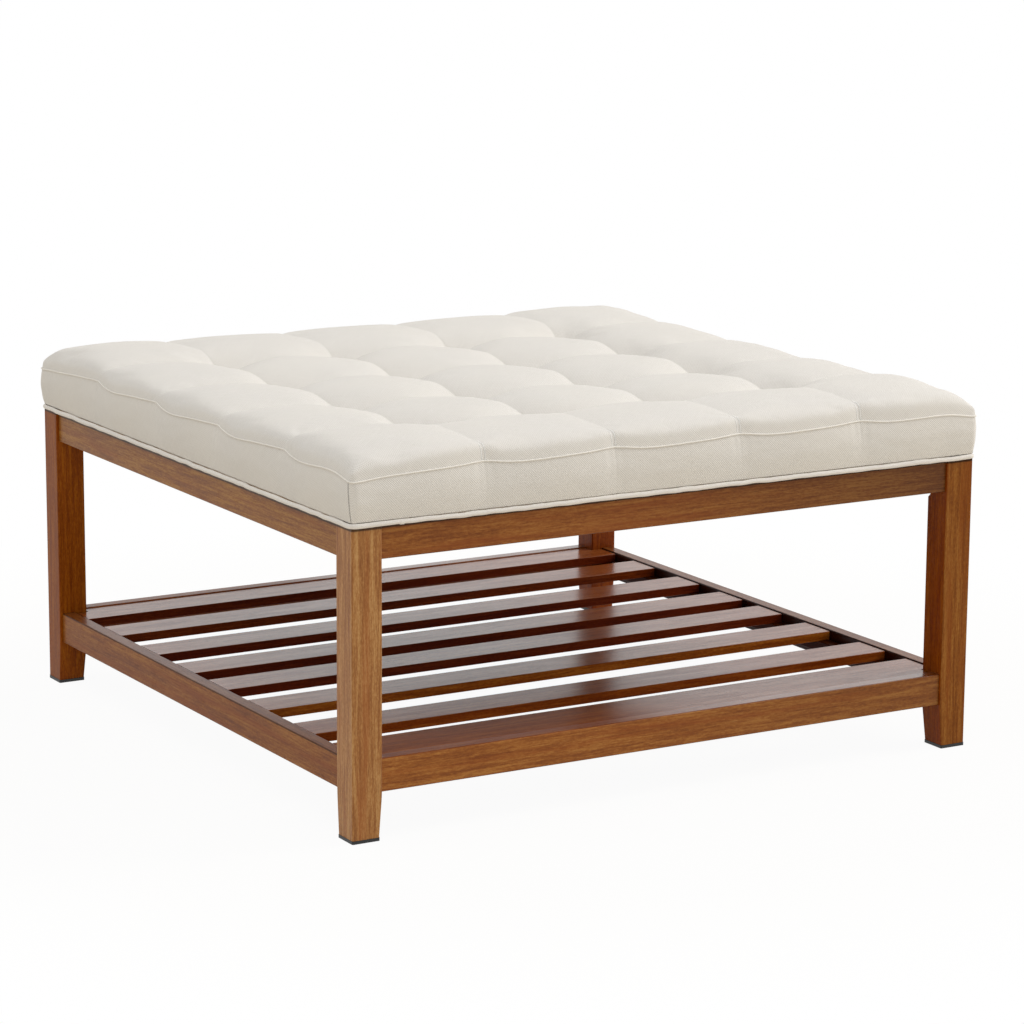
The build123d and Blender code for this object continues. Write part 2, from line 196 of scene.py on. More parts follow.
class Graph:
    """A node tree under construction."""

    def __init__(self, tree):
        self.tree = tree
        tree.nodes.clear()

    def make(self, kind, settings=None, inputs=None):
        """A node of one kind: its settings come first, then the values or links of its sockets."""
        node = self.tree.nodes.new(kind)
        for key, value in (settings or {}).items():
            if key == "stops":
                ramp = node.color_ramp
                while len(ramp.elements) < len(value):
                    ramp.elements.new(1)
                for element, (at, tone) in zip(ramp.elements, value):
                    element.position = at
                    element.color = (*tone, 1)
            else:
                setattr(node, key, value)
        for key, value in (inputs or {}).items():
            socket = node.inputs[key]
            if isinstance(value, Wire):
                self.tree.links.new(value.socket, socket)
            elif socket.type == "RGBA" and len(value) == 3:
                socket.default_value = (*value, 1)
            else:
                socket.default_value = value
        return node

    def add(self, kind, settings=None, inputs=None, output=0):
        """The same, giving one output to go on with."""
        return Wire(self, self.make(kind, settings, inputs).outputs[output])

    def axes(self, vector):
        """The three parts of a vector."""
        split = self.make("ShaderNodeSeparateXYZ", None, {0: vector})
        return [Wire(self, socket) for socket in split.outputs]

    def point(self, x, y, z=0.0):
        return self.add("ShaderNodeCombineXYZ", None, {0: x, 1: y, 2: z})

    def stretched(self, vector, scale):
        """A vector multiplied part by part."""
        return self.add("ShaderNodeVectorMath", {"operation": "MULTIPLY"}, {0: vector, 1: scale})

    def cloud(self, vector, scale, detail=2.0, roughness=0.5, distortion=0.0):
        """Soft random values, mostly from 0.3 to 0.7."""
        return self.add("ShaderNodeTexNoise", None, {"Vector": vector, "Scale": scale, "Detail": detail,
                                                     "Roughness": roughness, "Distortion": distortion})

    def blend(self, share, first, second):
        """Colours mixed by a share from 0 to 1."""
        return self.add("ShaderNodeMix", {"data_type": "RGBA"}, {0: share, 6: first, 7: second}, output=2)

    def tinted(self, colour, tint):
        """A colour multiplied part by part."""
        return self.add("ShaderNodeMix", {"data_type": "RGBA", "blend_type": "MULTIPLY"},
                        {0: 1.0, 6: colour, 7: tint}, output=2)

    def bump(self, height, distance, strength=1.0, under=None):
        inputs = {"Height": height, "Distance": distance, "Strength": strength}
        if under is not None:
            inputs["Normal"] = under
        return self.add("ShaderNodeBump", None, inputs)

    def shows_white(self):
        """1 for what the camera, a reflection or a glass sees, 0 for the light that lands on the table."""
        path = self.make("ShaderNodeLightPath")
        kinds = ("Is Camera Ray", "Is Glossy Ray", "Is Transmission Ray")
        direct, mirrored, through = (Wire(self, path.outputs[kind]) for kind in kinds)
        return (direct + mirrored + through).least(1.0)


class Finish(Graph):
    """A material under construction."""

    def __init__(self, name):
        self.material = bpy.data.materials.new(name)
        self.material.use_nodes = True
        super().__init__(self.material.node_tree)
        self.place = Wire(self, self.make("ShaderNodeTexCoord").outputs["Object"])

    def facing(self):
        """The three parts of the direction that the flat face looks in."""
        return self.axes(Wire(self, self.make("ShaderNodeNewGeometry").outputs["True Normal"]))

    def surface(self, base, roughness, normal=None, **constants):
        """The shader itself: what varies is linked, and every constant stays on its own socket."""
        inputs = {"Base Color": base, "Roughness": roughness}
        if normal is not None:
            inputs["Normal"] = normal
        inputs.update({key.replace("_", " "): value for key, value in constants.items()})
        shader = self.add("ShaderNodeBsdfPrincipled", None, inputs)
        self.make("ShaderNodeOutputMaterial", None, {"Surface": shader})
        return self.material


# Finishes

def walnut(name, grain, wood, tone=(1, 1, 1), top=None, inner=(1.0, 0.72, 0.4), waxed=0.3, sheen=0.17,
           shaded=0.3764, joint=None, under=None, fading=0.0, edge=0.0, dull=0.0):
    """Oiled walnut with its grain along one axis: soft streaks, fine lines, speckle and short dark pores.

    Tone multiplies the wood's colours. Level faces take top in its place, a painted difference of light
    between level and upright faces, and the upper ones carry the wax. Faces that look to the middle of the
    table are multiplied by inner too, as painted shade. The wood is darkened by a painted shadow above the
    height shaded, where the piping hangs over it, and by painted shade below the height under, along the
    lower edge. It is dark beyond joint along the grain and, by fading, towards the far end of the grain. Edge
    darkens the outer upper edges with a painted dark reflection, and dull takes a share of the wax from the
    near half of the grain."""
    finish = Finish(name)
    axis = "XYZ".index(grain)
    along = [1.0, 1.0, 1.0]
    along[axis] = 0.05
    place = finish.stretched(finish.place, along)
    wander = finish.cloud(place, 14, detail=2)
    shifted = finish.add("ShaderNodeVectorMath", {"operation": "MULTIPLY_ADD"},
                         {0: finish.point(wander, wander, wander), 1: (0.02, 0.02, 0.02), 2: place})
    streak = finish.cloud(shifted, 1 / wood.streak, detail=4, roughness=0.62)
    line = finish.cloud(shifted, 3.2 / wood.streak, detail=3, roughness=0.65, distortion=0.3)
    dash = [1.0, 1.0, 1.0]
    dash[axis] = 0.3
    speckle = finish.cloud(finish.stretched(finish.place, dash), 620, detail=2, roughness=0.7)
    dash[axis] = 0.04
    pore = finish.cloud(finish.stretched(finish.place, dash), 1000, detail=1).ramp(0.6, 0.72)
    figure = (streak * 0.38 + line * 0.34 + speckle * 0.28).ramp(0.36, 0.64)
    deep, middle, light, heart = (tuple(part) for part in (wood.deep, wood.middle, wood.light, wood.red))
    body = finish.add("ShaderNodeValToRGB", {"stops": ((0.0, deep), (0.5, middle), (1.0, light))},
                      {"Fac": figure * 0.72 + 0.14})
    red = finish.cloud(shifted, 0.45 / wood.streak, detail=2).ramp(0.5, 0.68)
    body = finish.blend(red * 0.45, body, heart)
    body = finish.blend(pore * 0.5, body, deep)
    here = finish.axes(finish.place)
    facing = finish.facing()
    outward = here[0] * facing[0] + here[1] * facing[1]
    upper = facing[2] > 0.7
    # Level faces get a tone of their own: painted light and shade, setting them apart from the upright faces
    tint = finish.blend(abs(facing[2]) > 0.7, tone, top or tone)
    # Faces turned to the middle of the table take inner: painted shade
    tint = finish.blend(outward < -0.2, tint, tuple(c * t for c, t in zip(inner, tone)))
    body = finish.tinted(body, tint)
    # Painted shadow along the top, under the piping, and a darkening towards the far end of the grain
    dark = (here[2].ramp(shaded, shaded + 0.0018) * 0.85).most(here[axis].ramp(-0.2, 0.45) * fading)
    # Painted dark reflection on the rounded outer upper edges
    dark = dark.most((facing[2] > 0.1) * (facing[2] < 0.9) * (outward > 0.2) * edge)
    if joint is not None:
        dark = dark.most(abs(here[axis]).ramp(joint - 0.0013, joint - 0.0006) * 0.6)
    if under is not None:
        # Painted shade along the lower edge
        dark = dark.most((1 - here[2].ramp(under, under + 0.0014)) * 0.45)
    # The painted shadow and shade, with the dark joint ends, go on as a dark brown
    body = finish.blend(dark, body, shade(40, 24, 12))
    rough = 0.35 + (streak - 0.5) * 0.14 + pore * 0.12
    normal = finish.bump(speckle * 0.5 - pore, 0.00014, 0.6)
    kept = 1 - (1 - here[axis].ramp(-0.12, 0.03)) * dull
    wax = upper * kept * (waxed - 0.02 + (figure - 0.5) * 0.45 * waxed) + 0.02
    return finish.surface(body, rough, normal, Coat_Weight=wax, Coat_Roughness=0.2, IOR=1.5,
                          Specular_IOR_Level=sheen)


def plain_wood(name, grain, wood):
    """Planed beech: pale, with short flecks along the grain."""
    finish = Finish(name)
    along = [1.0, 1.0, 1.0]
    along["XYZ".index(grain)] = 0.06
    place = finish.stretched(finish.place, along)
    streak = finish.cloud(place, 110, detail=4, roughness=0.6)
    fleck = finish.cloud(place, 700, detail=2).ramp(0.58, 0.7)
    deep = tuple(c * 0.62 for c in wood.pale)
    body = finish.blend(streak.ramp(0.35, 0.68), deep, tuple(wood.pale))
    body = finish.blend(fleck * 0.4, body, shade(150, 106, 66))
    return finish.surface(body, 0.55 + streak * 0.15, finish.bump(streak - fleck * 0.5, 0.00015))


def plywood(name, wood):
    """Birch plywood: thin plies on its edges and a plain rotary-cut face."""
    finish = Finish(name)
    x, y, z = finish.axes(finish.place)
    ply = (z * (2 * math.pi / 0.0034)).sine().ramp(-0.2, 0.2)
    face = finish.cloud(finish.stretched(finish.place, (0.12, 1, 1)), 60, detail=3, roughness=0.6)
    body = finish.blend(face.ramp(0.35, 0.65), tuple(c * 0.8 for c in wood.pale), tuple(wood.pale))
    body = finish.blend(ply * 0.35, body, shade(140, 98, 60))
    return finish.surface(body, 0.6 + face * 0.15, finish.bump(face + ply * 0.3, 0.0001))


def steel(name):
    """Bright zinc plating with faint mottling."""
    finish = Finish(name)
    mottle = finish.cloud(finish.place, 400, detail=3)
    body = finish.blend(mottle.ramp(0.35, 0.65), shade(150, 152, 156), shade(198, 199, 202))
    return finish.surface(body, 0.25 + mottle * 0.2, finish.bump(mottle, 0.00005), Metallic=1.0)


def glide_plastic(name):
    """Black moulded plastic, scuffed grey under the foot."""
    finish = Finish(name)
    x, y, z = finish.axes(finish.place)
    grain = finish.cloud(finish.place, 1500, detail=2)
    scuff = finish.cloud(finish.place, 220, detail=4).ramp(0.5, 0.7) * (1 - z.ramp(0.0, 0.0012))
    body = finish.blend(scuff * 0.5, shade(20, 19, 19), shade(92, 90, 88))
    return finish.surface(body, 0.45 + scuff * 0.3, finish.bump(grain, 0.00008))


def cloth_place(finish):
    """Flat coordinates of the cloth from where it faces: the plan on top, along and up on the sides."""
    x, y, z = finish.axes(finish.place)
    facing = finish.facing()
    top = abs(facing[2]) > 0.62
    side = (abs(facing[0]) > abs(facing[1])) * (1 - top)
    across = x * (1 - side) + y * side
    up = y * top + z * (1 - top)
    return across, up


def linen(name, cloth, thread, depth=0.00045, sewn=None):
    """Slant-woven linen: uneven threads both ways, slubs and a faint change of tone, then sewn lines of
    painted shade and highlight.
    """
    finish = Finish(name)
    across, up = cloth_place(finish)
    sway = finish.cloud(finish.place, 45, detail=3) * 0.004
    turn = 2 * math.pi / thread
    warp = ((across + up + sway) * turn).sine() * 0.5 + 0.5
    weft = ((across - up + sway) * turn).sine() * 0.5 + 0.5
    weave = warp * 0.65 + weft * 0.35
    slub_warp = finish.cloud(finish.point((across + up) * 420, (across - up) * 22), 1, detail=2)
    slub_weft = finish.cloud(finish.point((across - up) * 420, (across + up) * 22, 3.0), 1, detail=2)
    slub = slub_warp.most(slub_weft)
    fuzz = finish.cloud(finish.place, 1400, detail=3, roughness=0.7)
    tone = finish.cloud(finish.place, 9, detail=3)
    low = tuple(c * s for c, s in zip(cloth, (0.77, 0.755, 0.725)))
    body = finish.blend((weave * 0.5 + slub * 0.35 + fuzz * 0.15).ramp(0.15, 0.8), low, tuple(cloth))
    warm = tuple(c * s for c, s in zip(cloth, (0.97, 0.955, 0.92)))
    body = finish.blend(tone.ramp(0.35, 0.7) * 0.25, body, warm)
    height = weave * 0.7 + slub * 0.5 + fuzz * 0.2
    normal = finish.bump(height, depth)
    if sewn is not None:
        dark, pale, relief = sewn(finish)
        # The sewn lines paint shade as a darker linen and highlights as near white
        body = finish.blend(dark, body, tuple(c * 0.5 for c in cloth))
        body = finish.blend(pale, body, (1.0, 0.98, 0.94))
        normal = finish.bump(relief, 0.001, under=normal)
    return finish.surface(body, 0.86 + fuzz * 0.12, normal, Sheen_Weight=0.08, Sheen_Roughness=0.6, IOR=1.35)


def cover_seams(form):
    """Lines on the cover: painted highlights and crease shade on the folds of the front and back pleats, and
    painted shade on the sewn corners of the side band.
    """
    def peak(finish, value, width):
        return (1 - abs(value) * (1 / width)).most(0.0)

    def lines(finish):
        x, y, z = finish.axes(finish.place)
        above = z > form.s.seam + form.s.seam_lift + 0.0014
        row = x * (1 / form.pillow) + 20.0
        off = (abs(row - finish.add("ShaderNodeMath", {"operation": "ROUND"}, {0: row})) - 0.5) * form.pillow
        near = abs(y).ramp(form.half - 0.030, form.half - 0.016) * above * (1 - (abs(x) > form.half - 0.05))
        # pale: a painted highlight along both edges of each fold
        pale = (peak(finish, abs(off) - 0.0024, 0.0010) * 1.6).least(1.0) * near
        # dark: painted shade in the crease of each fold
        dark = peak(finish, off, 0.0012) * near * 0.12
        slant = (z - form.s.hem) * 0.09
        # corner: painted shade in the groove of each sewn corner, stronger at every stitch
        corner = peak(finish, abs(x) - abs(y) - 0.0015 - slant, 0.0011) * (z < form.s.seam - 0.006)
        stitch = (z * (2 * math.pi / 0.0042)).sine() * 0.5 + 0.5
        return (dark + corner * (0.35 + stitch * 0.45)).least(1.0), pale, pale - corner
    return lines


def foam_finish(name):
    """Cream upholstery foam with open cells."""
    finish = Finish(name)
    cell = finish.add("ShaderNodeTexVoronoi", None, {"Vector": finish.place, "Scale": 900}, output="Distance")
    tone = finish.cloud(finish.place, 12, detail=3)
    body = finish.blend(tone.ramp(0.3, 0.7), shade(226, 208, 150), shade(240, 228, 182))
    body = finish.blend(cell.ramp(0.0, 0.5), shade(190, 168, 110), body)
    return finish.surface(body, 0.95 - cell * 0.1, finish.bump(cell, 0.0003))


def twine(name):
    """Waxed upholstery twine, laid up from fine strands."""
    finish = Finish(name)
    x, y, z = finish.axes(finish.place)
    lay = ((z + x * 0.5 + y * 0.5) * 3500).sine() * 0.5 + 0.5
    body = finish.blend(lay, shade(160, 148, 118), shade(222, 212, 186))
    return finish.surface(body, 0.6 + lay * 0.1, finish.bump(lay, 0.0002))


def dust_cloth(name):
    """Thin black spun cloth with its pressed grid of dots."""
    finish = Finish(name)
    x, y, z = finish.axes(finish.place)
    dots = ((x * 3000).sine() * (y * 3000).sine()).ramp(0.1, 0.6)
    web = finish.cloud(finish.place, 500, detail=4, roughness=0.7)
    body = finish.blend(web.ramp(0.35, 0.7), shade(18, 18, 19), shade(44, 43, 44))
    return finish.surface(body, 0.8 + web * 0.15, finish.bump(dots * 0.5 + web, 0.00015))


# Mesh helpers

def mesh_piece(name, verts, faces, finish, smooth=True):
    """A named mesh that rides on the table."""
    mesh = bpy.data.meshes.new(name)
    mesh.from_pydata([tuple(v) for v in verts], [], faces)
    mesh.update()
    work = bmesh.new()
    work.from_mesh(mesh)
    bmesh.ops.recalc_face_normals(work, faces=work.faces)
    work.to_mesh(mesh)
    work.free()
    if smooth:
        mesh.polygons.foreach_set("use_smooth", [True] * len(mesh.polygons))
    mesh.materials.append(finish)
    piece = bpy.data.objects.new(name, mesh)
    bpy.context.scene.collection.objects.link(piece)
    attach(piece, "root")
    return piece


def dress(names, finish):
    """CAD nodes get a finish in place of the plain one they were packed with."""
    for name in names:
        mesh = nodes[name].data
        mesh.materials.clear()
        mesh.materials.append(finish)


def rough(x, y, z, scale):
    """Smooth random value near 0, from about -1 to 1."""
    return noise.noise(Vector((x, y, z)) * scale)


def grid_faces(cells):
    """Faces of a square grid with that many cells along each side."""
    count = cells + 1
    return [(j * count + i, j * count + i + 1, (j + 1) * count + i + 1, (j + 1) * count + i)
            for j in range(cells) for i in range(cells)]


def grid_rim(cells):
    """The rim of that grid as column, row and side, going round from the front left corner."""
    sides = ([(k, 0) for k in range(cells)], [(cells, k) for k in range(cells)],
             [(cells - k, cells) for k in range(cells)], [(0, cells - k) for k in range(cells)])
    return [(i, j, side) for side, places in enumerate(sides) for i, j in places]


def band_faces(above, below):
    """Faces between two closed rings of vertices."""
    count = len(above)
    return [(above[k], above[(k + 1) % count], below[(k + 1) % count], below[k]) for k in range(count)]


def oval(wide, tall, points):
    """A flattened round section from its half width and half height."""
    return [(wide * math.cos(a), tall * math.sin(a)) for a in (math.tau * k / points for k in range(points))]


def swept_loop(path, ring, closed=True):
    """Vertices and faces of a tube: ring(k) gives the section's (out, up) pairs at point k of the path."""
    count = len(path)
    verts, faces = [], []
    for k, point in enumerate(path):
        before = path[(k - 1) % count] if closed or k else path[0]
        after = path[(k + 1) % count] if closed or k < count - 1 else path[-1]
        run = (after - before).normalized()
        out = run.cross(Vector((0, 0, 1))).normalized()
        up = out.cross(run)
        section = ring(k)
        verts += [point + out * a + up * b for a, b in section]
    size = len(section)
    for k in range(count if closed else count - 1):
        for j in range(size):
            a, b = k * size + j, k * size + (j + 1) % size
            c, d = ((k + 1) % count) * size + (j + 1) % size, ((k + 1) % count) * size + j
            faces.append((a, b, c, d))
    if not closed:
        faces.append(tuple(range(size)))
        faces.append(tuple(range((count - 1) * size, count * size))[::-1])
    return verts, faces


# The tufted top

class CushionForm:
    """Where the cover's cloth lies, from the settings of the cushion."""

    # Millimetres from a tuft line to the rows of points, up to the middle of a pillow
    steps = (0, 1.6, 3.4, 5.5, 8, 11, 14.5, 18.5, 23, 28, 34, 41, 50, 60, 70, 80, 90.6)
    # Rows of points down the side band, from the seam to the hem
    band_shares = (0.03, 0.07, 0.13, 0.21, 0.31, 0.42, 0.53, 0.64, 0.75, 0.85, 0.93, 0.98, 1.0)
    # How far in and down each row of the turned-in hem lies from its lower edge
    hem_rows = ((0.0006, 0.0005), (0.0028, 0.0006), (0.0036, 0.0022), (0.0040, 0.0030), (0.0075, 0.0012))
    # How far in the hem lies from the fullest place, and how far the side band bulges over its two edges
    hem_inset, band_bulge = 0.0022, 0.0042
    # How far the upright corners are rounded off, and over what distance along each side
    corner_cut, corner_span = 0.0022, 0.009

    def __init__(self, settings):
        self.s = settings
        self.half = settings.half_side
        self.pillow = 2 * self.half / settings.pillows
        self.lines = [self.pillow * k - self.half for k in range(1, settings.pillows)]
        share = self.pillow / 2 / (self.steps[-1] * MM)
        half_row = [s * MM * share for s in self.steps]
        row = []
        for k in range(settings.pillows):
            start = k * self.pillow - self.half
            row += [start + s for s in half_row[:-1]] + [start + self.pillow - s for s in half_row[:0:-1]]
        self.row = row + [self.half]

    def from_line(self, t):
        """Distance to the nearest tuft line."""
        return min(abs(t - line) for line in self.lines)

    def pull(self, t, width):
        """1 on a tuft line, falling to 0 between them."""
        return math.exp(-(self.from_line(t) / width) ** 2)

    def reach(self, t):
        """Middle to the seam, at a place along one side: drawn in at the tuft lines."""
        d = min(self.from_line(t), self.pillow / 2)
        arch = math.sin(math.pi * d / self.pillow)
        return self.half - self.s.seam_draw * (1 - arch) - self.s.seam_draw * 0.2 * self.pull(t, 0.012)

    def seam_height(self, t, skew):
        """Height of the seam along one side. A negative skew hangs low just before each tuft line."""
        drop = self.s.corner_drop * math.exp(-((self.half - abs(t)) / 0.03) ** 2)
        hang = skew * math.sin(math.tau * (t + self.half) / self.pillow)
        return self.s.seam + self.s.seam_lift * self.pull(t, 0.03) - drop - hang

    def fullness(self, u, v):
        """Height of the stuffing: least in the middle, more along the edges and most in the corners."""
        def rise(t):
            share = min(1, max(0, (abs(t) / self.half - 0.42) / 0.36))
            return share * share * (3 - 2 * share)
        edge_u, edge_v = rise(u), rise(v)
        firm = 1 - 0.8 * (v > 0) * (u / self.half) ** 6
        lean = self.s.lean * (1 + u / self.half) / 2 * v / self.half * firm
        rim = self.s.edge_crest * max(edge_u, edge_v) + self.s.corner_crest * edge_u * edge_v
        return self.s.crest + rim - lean

    def swell(self, t):
        """0 on a tuft line and 1 in the middle of a pillow, and on past it where no line follows."""
        d = self.from_line(t) / (self.pillow / 2)
        return (1 - (1 - min(1.0, d)) ** self.s.swell_power) ** 0.8

    def outside(self, t):
        """0 between the outer tuft lines, rising to 1 towards the edge."""
        return min(1.0, max(0.0, (abs(t) - self.lines[-1]) / 0.032))

    def net(self, u, v):
        """Depth under the crest that the cloth would have if every place were on a tuft line."""
        s, out_u, out_v = self.s, self.outside(u), self.outside(v)
        r = math.hypot(self.from_line(u) * (1 + 0.5 * out_u), self.from_line(v) * (1 + 0.5 * out_v))
        r /= self.pillow / 2
        end_valley = s.front_valley if v < 0 else s.back_valley
        valley = max(0.0, s.valley + (s.side_valley - s.valley) * out_u + (end_valley - s.valley) * out_v)
        return valley + (s.well - valley) * max(0.0, 1 - r) ** 1.6

    def pleat(self, across, along):
        """Depth of the sewn fold that runs from an outer tuft to the seam, sharpest at the seam."""
        edge = self.half - abs(along)
        if edge > self.pillow:
            return 0.0
        d = self.from_line(across)
        rim = math.exp(-edge / 0.026)
        return self.s.pleat * (0.2 + 0.8 * rim) * math.exp(-d / (0.005 - 0.002 * rim))

    def rise(self, dx, dy, corner):
        """Share of the full height at distances dx and dy from the side and end seams.

        A slow slope follows a round shoulder, and corner says how much softer it is in the corners."""
        s = self.s
        soft = 1 + corner * math.exp(-(dx + dy) / 0.05)
        shoulder = math.hypot(s.side_shoulder * soft / max(dx, 1e-9), s.shoulder * soft / max(dy, 1e-9))
        shoulder = min(1.0, 1 / shoulder)
        slope = min(1.0, 1 / math.hypot(s.side_slope / max(dx, 1e-9), s.slope / max(dy, 1e-9)))
        return s.rounded * (1 - (1 - shoulder) ** 2.4) ** (1 / 2.4) + (1 - s.rounded) * (1 - (1 - slope) ** 2)

    def crown(self, u, v):
        """The point of the top at shares u and v of its half side."""
        s, half = self.s, self.half
        x, y = u / half * self.reach(v), v / half * self.reach(u)
        dx, dy = half - abs(u), half - abs(v)
        wx, wy = math.exp(-dx / 0.018), math.exp(-dy / 0.018)
        side = self.seam_height(v, math.copysign(s.side_skew, u))
        end = self.seam_height(u, -math.copysign(s.seam_skew, v))
        base = s.seam + (side - s.seam) * wx + (end - s.seam) * wy * (1 - wx)
        sunk = self.net(u, v) * (1 - self.swell(u) * self.swell(v))
        sunk += max(self.pleat(u, v), self.pleat(v, u))
        wave = 0.0011 * rough(u, v, 0.3, 14) + 0.0006 * rough(u, v, 1.7, 34)
        soft = s.worn_soft if u > 0 > v else s.corner_soft
        z = base + self.rise(dx, dy, soft) * (self.fullness(u, v) - sunk + wave)
        cut = self.corner_cut * max(0.0, 1 - (dx + dy) / self.corner_span) ** 2
        return Vector((x - math.copysign(cut, u), y - math.copysign(cut, v), z))

    def band(self, seam, side, t, share):
        """The side band, share 0 at the seam and 1 at the hem, under a point of the seam."""
        s = self.s
        out = Vector(((0, -1, 0), (1, 0, 0), (0, 1, 0), (-1, 0, 0))[side])
        level = seam.dot(out)
        uneven = 0.0005 * rough(t, side, 5.0, 40)
        hem_level = self.half - self.hem_inset - 0.0008 * self.pull(t, 0.02) + uneven
        edge = self.half - abs(t)
        fade = max(0.0, 1 - edge / self.corner_span) ** 2
        hem_level -= self.corner_cut * fade
        belly = self.band_bulge * math.sin(math.pi * min(1, share * 1.02)) ** 0.8 * (1 - fade * 0.5)
        folds = math.sin(self.from_line(t) / 0.0062 * math.pi) * self.pull(t, 0.028)
        pucker = 0.0006 * math.exp(-share * 3.2) * folds
        soft = 0.0009 * rough(t, side * 2.0, share * 0.6, 26) * math.sin(math.pi * share)
        place = level + (hem_level - level) * share + belly + pucker + soft
        z = seam.z + (s.hem - seam.z) * share
        along = seam - out * level
        return Vector((along.x, along.y, z)) + out * place


def blow_up(cover, form, press, most):
    """Let the cloth of the crown take the push of the foam between the places that it is sewn at.

    The tufts and all below the seam are held, and the folds between the tufts a little. No point moves
    further than most."""
    frames = 20
    row, count = form.row, len(form.row)
    held = cover.vertex_groups.new(name="sewn")
    for k in range(len(cover.data.vertices)):
        hold = 1.0
        if k < count * count:
            u, v = row[k % count], row[k // count]
            across, along = form.from_line(u), form.from_line(v)
            rim = float(max(abs(u), abs(v)) > form.half - 1e-6)
            tuft = math.exp(-(math.hypot(across, along) / 0.012) ** 2)
            fold = 0.35 * math.exp(-(min(across, along) / 0.005) ** 2)
            hold = max(rim, tuft, fold)
        held.add([k], hold, "REPLACE")
    cloth = cover.modifiers.new("Cloth", "CLOTH")
    cloth.collision_settings.use_collision = False
    solver = cloth.settings
    solver.vertex_group_mass = held.name
    solver.use_pressure = True
    solver.uniform_pressure_force = press
    solver.effector_weights.gravity = 0
    solver.quality = 4
    solver.tension_stiffness = solver.compression_stiffness = 25
    solver.shear_stiffness = 8
    solver.bending_stiffness = 0.4
    for step in range(1, frames + 1):
        bpy.context.scene.frame_set(step)
    blown = cover.evaluated_get(bpy.context.evaluated_depsgraph_get()).data
    moves = [after.co - before.co for after, before in zip(blown.vertices, cover.data.vertices)]
    for point, move in zip(cover.data.vertices, moves):
        point.co += move * min(1.0, most / max(move.length, 1e-9))
    cover.modifiers.remove(cloth)
    cover.vertex_groups.remove(held)
    bpy.context.scene.frame_set(1)


def cover_mesh(form):
    """Vertices and faces of the cover, and its seam: the top, the side band and the turned-in hem."""
    row = form.row
    count = len(row)
    verts = [form.crown(u, v) for v in row for u in row]
    faces = grid_faces(count - 1)
    rim = grid_rim(count - 1)
    seam = [j * count + i for i, j, side in rim]
    above = seam
    for share in form.band_shares:
        start = len(verts)
        for index, (i, j, side) in zip(seam, rim):
            verts.append(form.band(verts[index], side, row[(i, j)[side % 2]], share))
        below = list(range(start, len(verts)))
        faces += band_faces(above, below)
        above = below
    for inset, drop in form.hem_rows:
        start = len(verts)
        for index in below:
            x, y, z = verts[index]
            verts.append(Vector((x * (1 - inset / form.half), y * (1 - inset / form.half), z - drop)))
        inner = list(range(start, len(verts)))
        faces += band_faces(above, inner)
        above = inner
    return verts, faces, seam


class OTTOMAN_OT_cushion(bpy.types.Operator):
    """Make the tufted linen cover and its top seam"""
    bl_idname = "ottoman.cushion"
    bl_label = "Tufted cover"

    def execute(self, context):
        settings = context.scene.ottoman_cushion
        form = CushionForm(settings)
        verts, faces, seam = cover_mesh(form)
        cloth = linen("ivory_linen_cover", settings.cloth, settings.thread, sewn=cover_seams(form))
        cover = mesh_piece("tufted_cushion", verts, faces, cloth)
        blow_up(cover, form, settings.press, settings.most)
        smooth = cover.modifiers.new("Soft folds", "SUBSURF")
        smooth.levels = smooth.render_levels = 1
        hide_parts("tufted_cover")
        thin = 0.0010
        path = [verts[k] + Vector((verts[k].x, verts[k].y, 0)).normalized() * thin for k in seam]

        def section(k):
            size = thin * (1 + 0.12 * rough(k * 0.13, 0, 0, 1))
            return oval(size, size * 0.9, 8)
        verts, faces = swept_loop(path, section)
        # The bead's linen is paler than the cover's: a painted highlight along the seam
        cloth = linen("ivory_linen_seam", shade(253, 249, 242), 0.0011, 0.0001)
        bead = mesh_piece("top_seam", verts, faces, cloth)
        return {"FINISHED"}


class OTTOMAN_OT_welt(bpy.types.Operator):
    """Make the piping under the side band, with the join of its cord"""
    bl_idname = "ottoman.welt"
    bl_label = "Bottom welt"

    def execute(self, context):
        settings = context.scene.ottoman_cushion
        low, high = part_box("bottom_welt")
        wide, tall = settings.welt_wide / 2, settings.welt_tall / 2
        lower, proud, bend = 0.0004, 0.0022, 0.009
        centre = high.z - lower - tall
        reach = high.x + proud - wide
        straight = reach - bend
        steps, corner_steps = 150, 12
        path = []
        for side in range(4):
            turn = Matrix.Rotation(side * math.pi / 2, 4, "Z")
            for k in range(steps):
                path.append(turn @ Vector((-straight + 2 * straight * k / steps, -reach, 0)))
            for k in range(corner_steps):
                a = math.pi / 2 * k / corner_steps
                path.append(turn @ Vector((straight + bend * math.sin(a), -straight - bend * math.cos(a), 0)))
        for point in path:
            x, y = point.x, point.y
            out = Vector((x, y, 0)).normalized()
            point.z = centre + 0.0005 * rough(x, y, 0, 22) + 0.0009 * rough(x, y, 6, 48)
            point += out * 0.0006 * rough(x, y, 4, 30)

        def section(k):
            x, y = path[k].x, path[k].y
            thick = wide * (1 + 0.10 * rough(x, y, 9, 40))
            return oval(thick, tall * (1 + 0.12 * rough(x, y, 12, 28)), 12)
        cloth = linen("ivory_linen_welt", shade(250, 245, 239), 0.0019, 0.0003)
        verts, faces = swept_loop(path, section)
        welt = mesh_piece("piping", verts, faces, cloth)
        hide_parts("bottom_welt")
        join_at, join_step = -0.388, 0.0006
        sleeve = [Vector((join_at + join_step * k, -reach, centre)) for k in range(12)]

        def fold(k):
            size = 1.14 if 1 < k < 10 else 0.96
            return oval(size * wide, size * tall, 12)
        verts, faces = swept_loop(sleeve, fold, closed=False)
        join = mesh_piece("piping_join", verts, faces, cloth)
        return {"FINISHED"}


